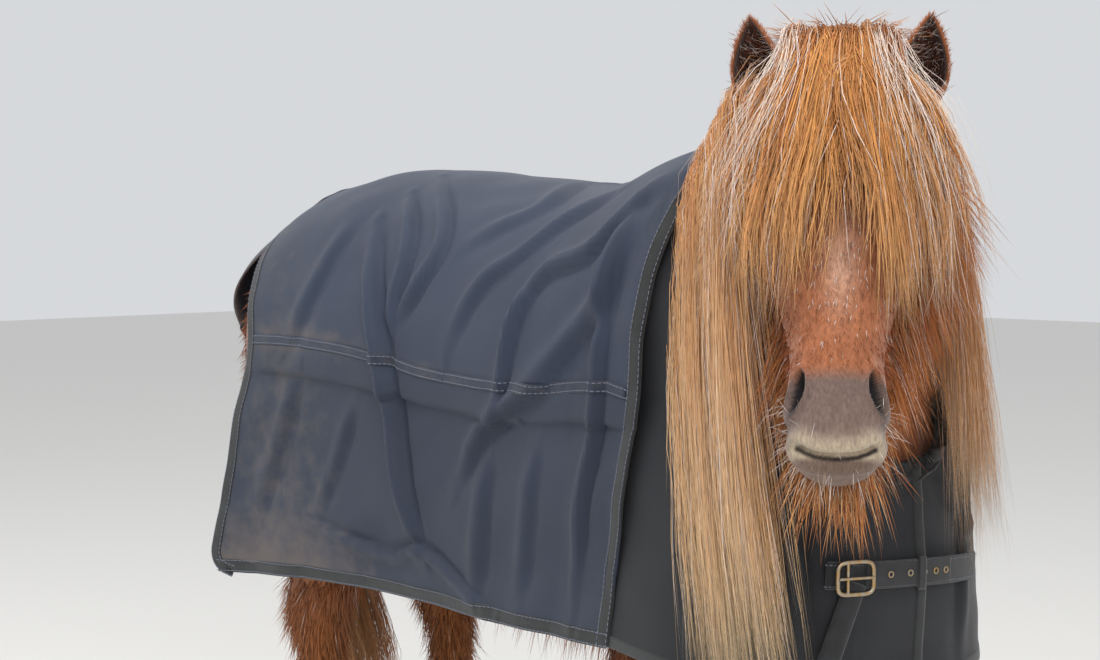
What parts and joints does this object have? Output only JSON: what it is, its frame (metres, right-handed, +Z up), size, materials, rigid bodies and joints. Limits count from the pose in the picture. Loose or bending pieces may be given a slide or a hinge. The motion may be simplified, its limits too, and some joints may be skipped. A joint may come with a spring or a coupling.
{
  "type": "pony figure",
  "caption": "Life-size standing Shetland pony in a canvas turnout rug, with its head turned to one side, as a still museum model.",
  "frame": {"origin": "on the floor, below the middle of the part's box", "axes": "+Z up, +X forward along the body, +Y to the pony's left"},
  "size_m": [1.329, 0.6358, 1.127],
  "materials": {
    "coat": "short thick winter hair, chestnut",
    "long_hair": "long coarse hair, gold with pale ends",
    "eye": "wet and dark",
    "horn": "worn horn",
    "rug_cloth": "proofed navy canvas, creased and muddy",
    "webbing": "woven webbing",
    "buckle": "dull and scratched"
  },
  "bodies": {
    "root": {"buckle_pin": "buckle", "chest_buckle": "buckle", "chest_strap": "webbing", "ear_left": "coat", "ear_right": "coat", "eye_left": "eye", "eye_right": "eye", "head": "coat", "hoof_fore_left": "horn", "hoof_fore_right": "horn", "hoof_hind_left": "horn", "hoof_hind_right": "horn", "leg_fore_left": "coat", "leg_fore_right": "coat", "leg_hind_left": "coat", "leg_hind_right": "coat", "neck": "long_hair", "rug_chest_left": "rug_cloth", "rug_chest_right": "rug_cloth", "rug_side_left": "rug_cloth", "rug_side_right": "rug_cloth", "rug_tail_flap": "rug_cloth", "surcingle_front": "webbing", "surcingle_rear": "webbing", "tail": "long_hair", "torso": "coat"}
  },
  "joints": []
}
